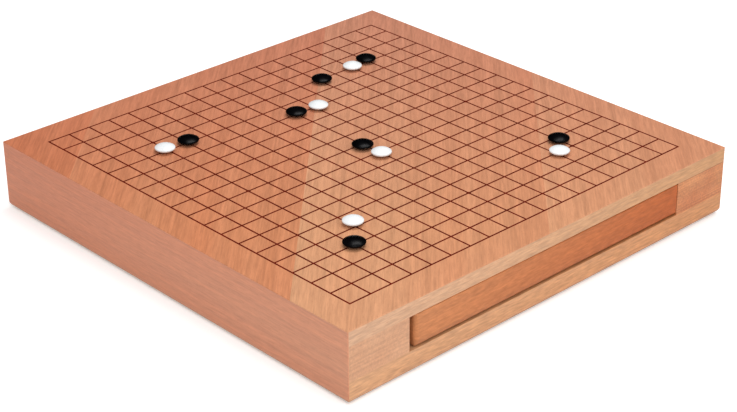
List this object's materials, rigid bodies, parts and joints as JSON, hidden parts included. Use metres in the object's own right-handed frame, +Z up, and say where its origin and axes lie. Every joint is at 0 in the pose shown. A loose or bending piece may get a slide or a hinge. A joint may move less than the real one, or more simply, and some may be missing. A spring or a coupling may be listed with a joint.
{
  "type": "go board",
  "caption": "Square veneered go board with a scored and inked grid, a storage drawer in each of two opposite sides, and lens-shaped stones lying on it.",
  "frame": {"origin": "middle of the underside, on the surface that the board stands on", "axes": "+Z up, -Y out of the front drawer's face, +X to the right when facing that drawer"},
  "size_m": [0.3184, 0.3184, 0.0515],
  "materials": {
    "top_veneer": "diagonal leaves of reddish beech veneer, satin lacquer",
    "side_veneer": "long-grain beech veneer, satin lacquer",
    "block_wood": "solid beech, end grain at the drawer sides, satin lacquer",
    "lipping_wood": "pale solid lipping, satin lacquer",
    "core_wood": "plain core board, unfinished",
    "drawer_front_wood": "warm reddish long grain, satin lacquer",
    "drawer_box_wood": "pale wood, sanded",
    "drawer_floor_ply": "thin plywood, sanded",
    "line_ink": "red-brown ink in scored lines",
    "white_stone": "polished white",
    "black_stone": "polished black"
  },
  "bodies": {
    "board": {"bottom_panel": "block_wood", "left_block": "block_wood", "right_block": "block_wood", "centre_rail": "block_wood", "top_core": "core_wood", "front_lipping": "lipping_wood", "back_lipping": "lipping_wood", "left_side_veneer": "side_veneer", "right_side_veneer": "side_veneer", "veneer_leaf_1": "top_veneer", "veneer_leaf_2": "top_veneer", "veneer_leaf_3": "top_veneer", "veneer_leaf_4": "top_veneer", "grid_lines": "line_ink", "star_points": "line_ink"},
    "front_drawer": {"front_drawer_front": "drawer_front_wood", "front_drawer_left_side": "drawer_box_wood", "front_drawer_right_side": "drawer_box_wood", "front_drawer_back": "drawer_box_wood", "front_drawer_bottom": "drawer_floor_ply"},
    "back_drawer": {"back_drawer_front": "drawer_front_wood", "back_drawer_left_side": "drawer_box_wood", "back_drawer_right_side": "drawer_box_wood", "back_drawer_back": "drawer_box_wood", "back_drawer_bottom": "drawer_floor_ply"},
    "white_1": {"white_stone_1": "white_stone"},
    "white_2": {"white_stone_2": "white_stone"},
    "white_3": {"white_stone_3": "white_stone"},
    "white_4": {"white_stone_4": "white_stone"},
    "white_5": {"white_stone_5": "white_stone"},
    "white_6": {"white_stone_6": "white_stone"},
    "black_1": {"black_stone_1": "black_stone"},
    "black_2": {"black_stone_2": "black_stone"},
    "black_3": {"black_stone_3": "black_stone"},
    "black_4": {"black_stone_4": "black_stone"},
    "black_5": {"black_stone_5": "black_stone"},
    "black_6": {"black_stone_6": "black_stone"},
    "black_7": {"black_stone_7": "black_stone"}
  },
  "joints": [
    {"name": "front_drawer_slide", "type": "slide", "parent": "board", "child": "front_drawer", "axis": [0, -1, 0], "range_m": [0, 0.125]},
    {"name": "back_drawer_slide", "type": "slide", "parent": "board", "child": "back_drawer", "axis": [0, 1, 0], "range_m": [0, 0.125]},
    {"name": "white_1_lift", "type": "slide", "parent": "board", "child": "white_1", "axis": [0, 0, 1], "range_m": [0, 0.03]},
    {"name": "white_2_lift", "type": "slide", "parent": "board", "child": "white_2", "axis": [0, 0, 1], "range_m": [0, 0.03]},
    {"name": "white_3_lift", "type": "slide", "parent": "board", "child": "white_3", "axis": [0, 0, 1], "range_m": [0, 0.03]},
    {"name": "white_4_lift", "type": "slide", "parent": "board", "child": "white_4", "axis": [0, 0, 1], "range_m": [0, 0.03]},
    {"name": "white_5_lift", "type": "slide", "parent": "board", "child": "white_5", "axis": [0, 0, 1], "range_m": [0, 0.03]},
    {"name": "white_6_lift", "type": "slide", "parent": "board", "child": "white_6", "axis": [0, 0, 1], "range_m": [0, 0.03]},
    {"name": "black_1_lift", "type": "slide", "parent": "board", "child": "black_1", "axis": [0, 0, 1], "range_m": [0, 0.03]},
    {"name": "black_2_lift", "type": "slide", "parent": "board", "child": "black_2", "axis": [0, 0, 1], "range_m": [0, 0.03]},
    {"name": "black_3_lift", "type": "slide", "parent": "board", "child": "black_3", "axis": [0, 0, 1], "range_m": [0, 0.03]},
    {"name": "black_4_lift", "type": "slide", "parent": "board", "child": "black_4", "axis": [0, 0, 1], "range_m": [0, 0.03]},
    {"name": "black_5_lift", "type": "slide", "parent": "board", "child": "black_5", "axis": [0, 0, 1], "range_m": [0, 0.03]},
    {"name": "black_6_lift", "type": "slide", "parent": "board", "child": "black_6", "axis": [0, 0, 1], "range_m": [0, 0.03]},
    {"name": "black_7_lift", "type": "slide", "parent": "board", "child": "black_7", "axis": [0, 0, 1], "range_m": [0, 0.03]}
  ]
}
